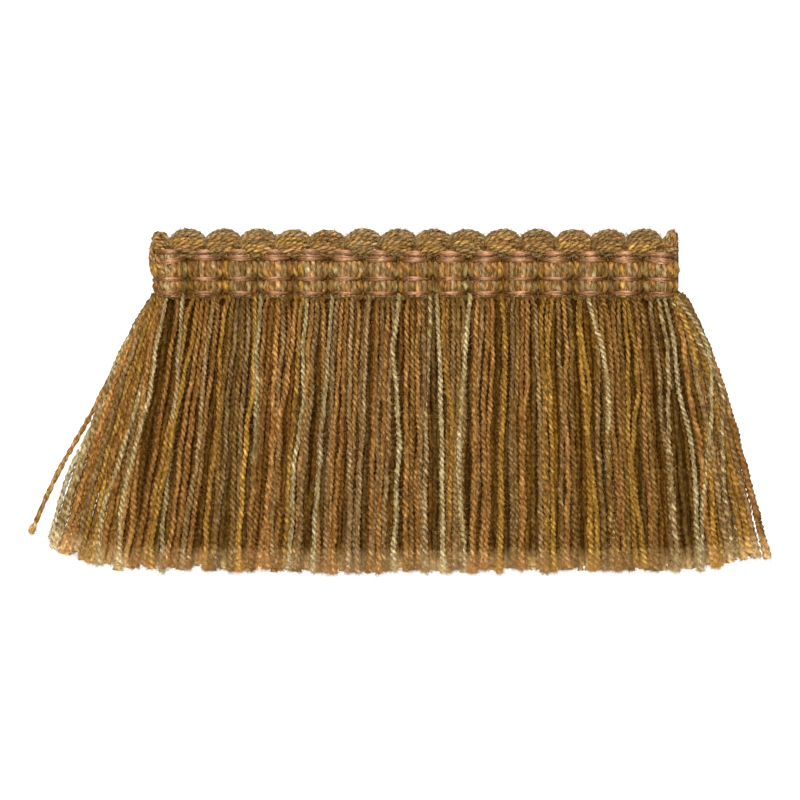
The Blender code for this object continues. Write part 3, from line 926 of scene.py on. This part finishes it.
def ribbon_yarns(name):
    """The filaments of one ribbon, floating over each bundle and diving into each dimple."""
    low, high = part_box(name)
    look = RIBBONS[name]
    chance = random.Random(name)
    middle = (low.y + high.y) / 2 + look.lift * MM
    yarns = []
    for k in range(look.filaments):
        offset = (k - (look.filaments - 1) / 2) * look.gap * MM
        wander = chance.uniform(0, 6.3)
        path = []
        tones_and_painted_light = []
        for x in np.linspace(HEADING_LEFT, heading_high.x, PICKS * RIBBON_POINTS + 1):
            across = across_pick(x)
            first = max(0.0, 1 - (x - HEADING_LEFT) / PICK_PITCH)
            last = max(0.0, 1 - (heading_high.x - x) / PICK_PITCH)
            y = middle + offset * (1 - 0.35 * across**3) + 0.07 * MM * math.sin(x / MM * 0.9 + wander)
            y += look.slant * MM * first - 0.5 * MM * last
            y += look.rise * MM * min(1.0, max(0.0, -(x / MM + 3) / 20))
            z = CROWN + 0.45 * MM - 1.7 * MM * across**1.9 - 0.9 * MM * across**8
            path.append((x, y, z + 0.04 * MM * math.sin(x / MM * 1.3 + 2 * wander)))
            # Painted highlight in the middle of each float, painted shade towards the dimples
            shine = 0.78 + 0.95 * math.exp(-((across / 0.2) ** 2))
            # Painted shade as a dark line along the first filament, darkest on the top ribbon
            edge = (0.36 if name == "ribbon_top" else 0.62) if k == 0 else 1.0
            tones_and_painted_light.append((1.0 - 0.85 * across**3) * shine * edge)
        yarns.append(Yarn(path, "ribbon", 9 * MM, 1.0, chance, tones_and_painted_light))
    return yarns


# Loops


def arch_path(x, arch, tilt, chance):
    """One yarn of a loop: up from its left foot, over, and down behind the next loop."""
    reach = arch.reach * chance.uniform(0.97, 1.03)
    top = arch.top + chance.uniform(-0.15, 0.15)
    path = []
    for angle in np.linspace(math.radians(198), math.radians(-18), LOOP_POINTS):
        left = math.cos(angle)
        rise = math.sin(angle)
        height = arch.z - 0.55 * left
        if rise < 0.45:
            height -= 1.5 * (0.45 - rise) ** 1.5
        full = rise**0.85 if rise > 0 else max(rise, -0.3)
        y = arch.foot + (top - arch.foot) * full + (0.3 * tilt - arch.slope) * left
        path.append((x + (arch.shift + reach * left) * MM, y * MM, rest_on_floor(height * MM)))
    return path


def loop_yarns():
    """The yarns of the loops that show, and the ones that fill the loops below them, darkened by painted
    shade.
    """
    chance = random.Random(SEED + 3)
    # Painted shade towards both feet of each arch
    feet = 1.0 - 0.65 * np.abs(np.linspace(-1, 1, LOOP_POINTS)) ** 3
    shown = []
    filling = []
    for k, order in enumerate(LOOP_DYES):
        low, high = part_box(f"loop_{k + 1:02d}")
        x = (low.x + high.x) / 2
        tilt = chance.uniform(-0.4, 1.0)
        for arch, word in zip(ARCHES, order.split()):
            path = arch_path(x, arch, tilt, chance)
            twist = LOOP_TWIST * chance.uniform(0.85, 1.2)
            gauge = chance.uniform(0.92, 1.05)
            brightest = 0.85 if "cream" in word else 1.3
            shown.append(Yarn(path, word, twist, gauge, chance, chance.uniform(0.72, brightest) * feet))
        # Each loop's sagging yarn is darker than the others
        shown.append(Yarn(arch_path(x, SAG, 0, chance), "olive/taupe", LOOP_TWIST, 1.0, chance, 0.6))
        for arch in ARCHES[1:5]:
            path = arch_path(x, arch._replace(z=0.9 + 0.3 * arch.z / 4), 0, chance)
            filling.append(Yarn(path, "rust/olive", SLACK_TWIST, 1.1, chance, 0.5 * feet))
    return shown, filling


def end_yarns():
    chance = random.Random(SEED + 4)
    yarns = []
    for dye, height, across, up in END_WRAPS:
        middle = (len(across) - 1) / 2
        places = []
        for i, (x, y) in enumerate(zip(across, up)):
            places.append((x * MM, y * MM, (height - 0.15 * abs(i - middle)) * MM))
        path = smooth_path(places, WRAP_POINTS)
        yarns.append(Yarn(path, dye, LOOP_TWIST * chance.uniform(0.9, 1.1), 0.98, chance))
    return yarns


# Building


def build_skirt(spun, loose):
    front = front_yarns()
    half = len(front) // 2
    left = yarn_piece("skirt_front_left", front[:half], spun, ["skirt"], "skirt_yarn", rings=6)
    right = yarn_piece("skirt_front_right", front[half:], spun, ["skirt"], "skirt_yarn", rings=6)
    stray = yarn_piece("skirt_stray", stray_yarns(), spun, ["skirt"], "skirt_yarn")
    words = under_words(MIDDLE_YARNS, SEED + 10)
    look = {"gauge": 1.12, "strength": 0.6, "evenness": 0.5}
    # The middle row is darkened by painted shade
    middle = fanned_row(words, MIDDLE_HEIGHTS, SEED + 11, unevenness=0.25, tone=0.4, **look)
    middle += side_fans()
    middle = yarn_piece("skirt_middle", middle, spun, ["skirt"], "skirt_yarn", points=6, rings=6)
    words = under_words(BACK_YARNS, SEED + 12)
    look = {"gauge": 1.76, "swell": 0.0, "twist": SLACK_TWIST, "wave": 0.0}
    look.update(strength=0.0, shorter=1.0 * MM, evenness=0.6)
    # The back row is darkened by painted shade, more than the middle one
    back = fanned_row(words, BACK_HEIGHTS, SEED + 13, unevenness=0.1, tone=0.26, **look)
    yarn_piece("skirt_back", back, spun, ["skirt"], "skirt_yarn", rings=24, **ROUND)
    for source, count, seed in ((left, 27000, 1), (right, 27000, 2), (stray, 1500, 3), (middle, 9000, 4)):
        fibre_piece(source, loose, count, SEED + 30 + seed, **SKIRT_FIBRES)


def build_heading(spun, satin, loose):
    front = heading_yarns(CROWN, SEED + 20)
    front = yarn_piece("heading_front", front, spun, ["heading"], "heading_yarn", **PACKED)
    # The core is darkened by painted shade
    core = heading_yarns(2.0 * MM, SEED + 21, full=0.0, pinched=0.0, tone=0.5, twist=SLACK_TWIST)
    yarn_piece("heading_core", core, spun, ["heading"], "heading_yarn", rings=24, **ROUND)
    back = heading_yarns(0.8 * MM, SEED + 22, full=0.0, pinched=0.2)
    yarn_piece("heading_back", back, spun, ["heading"], "heading_yarn", points=6, rings=4, **PACKED)
    fibre_piece(front, loose, 4000, SEED + 40, **HEADING_FIBRES)
    for name in RIBBONS:
        yarn_piece(f"{name}_satin", ribbon_yarns(name), satin, [name], "ribbon_satin", **FILAMENT)


def build_loops(spun, loose):
    nodes = [f"loop_{k + 1:02d}" for k in range(PICKS - 1)]
    shown, filling = loop_yarns()
    loops = yarn_piece("loops", shown, spun, nodes, "loop_yarn", **ROPED)
    yarn_piece("loop_filling", filling, spun, nodes, "loop_yarn", rings=40, **ROUND)
    ends = yarn_piece("loop_ends", end_yarns(), spun, ["end_loop_left", "end_loop_right"], "loop_yarn")
    fibre_piece(loops, loose, 26000, SEED + 50, **LOOP_FIBRES)
    fibre_piece(ends, loose, 1500, SEED + 51, **LOOP_FIBRES)


# Stage


def area_light(name, location, size, power):
    """A square light that faces the trim."""
    data = bpy.data.lights.new(name, "AREA")
    data.shape = "SQUARE"
    data.size = size
    data.energy = power
    lamp = new_object(name, data)
    lamp.location = location
    lamp.rotation_mode = "QUATERNION"
    direction = Vector((0, -0.02, 0)) - Vector(location)
    lamp.rotation_quaternion = direction.to_track_quat("-Z", "Y")


def soft_studio():
    world = bpy.data.worlds.new("studio")
    bpy.context.scene.world = world
    world.use_nodes = True
    background = world.node_tree.nodes["Background"].inputs
    background["Color"].default_value = WHITE
    background["Strength"].default_value = 0.5
    area_light("key", (-0.1, 0.2, 0.58), size=0.2, power=6.0)
    area_light("overhead", (0.05, 0.0, 0.75), size=0.4, power=4.0)


def white_floor():
    """A floor that glows, so that it is pure white as in the photograph."""
    mesh = bpy.data.meshes.new("floor")
    corners = [(x * FLOOR_HALF, y * FLOOR_HALF, 0) for x, y in ((-1, -1), (1, -1), (1, 1), (-1, 1))]
    mesh.from_pydata(corners, [], [(0, 1, 2, 3)])
    floor = new_object("floor", mesh)
    glow = {"Emission Color": WHITE, "Emission Strength": FLOOR_GLOW, "Base Color": (0.2, 0.2, 0.2, 1.0)}
    mesh.materials.append(new_material("floor_white", 0.9, 0.0, **glow)[0])


def camera():
    """Straight down, framed as the photograph is."""
    data = bpy.data.cameras.new("camera")
    data.sensor_width = 36.0
    data.lens = 110.0
    distance = VIEW_WIDTH * data.lens / data.sensor_width
    obj = new_object("camera", data)
    obj.location = (*VIEW_CENTRE, distance + FOCUS_HEIGHT)
    bpy.context.scene.camera = obj


matt = {"roughness": 0.9, "gloss": 0.08}
spun = yarn_material("spun_yarn", streak=0.5, groove=0.62, wound=0.2, frayed=2.1, **matt)
packed = yarn_material("packed_yarn", streak=0.6, groove=0.75, wound=0.1, fuzz=0.05, **matt)
roped = yarn_material("roped_yarn", streak=0.8, groove=0.05, fuzz=0.15, **matt)
satin = yarn_material("ribbon_satin", roughness=0.22, gloss=0.42, streak=0.5, groove=1.0, flat=0.8)
loose = fibre_material("loose_fibre", brightness=1.1, paleness=0.07)
halo = fibre_material("halo_fibre", brightness=1.2, paleness=0.35)
build_skirt(spun, loose)
build_heading(packed, satin, loose)
build_loops(roped, halo)
soft_studio()
white_floor()
camera()
bpy.context.scene.view_settings.view_transform = "Standard"
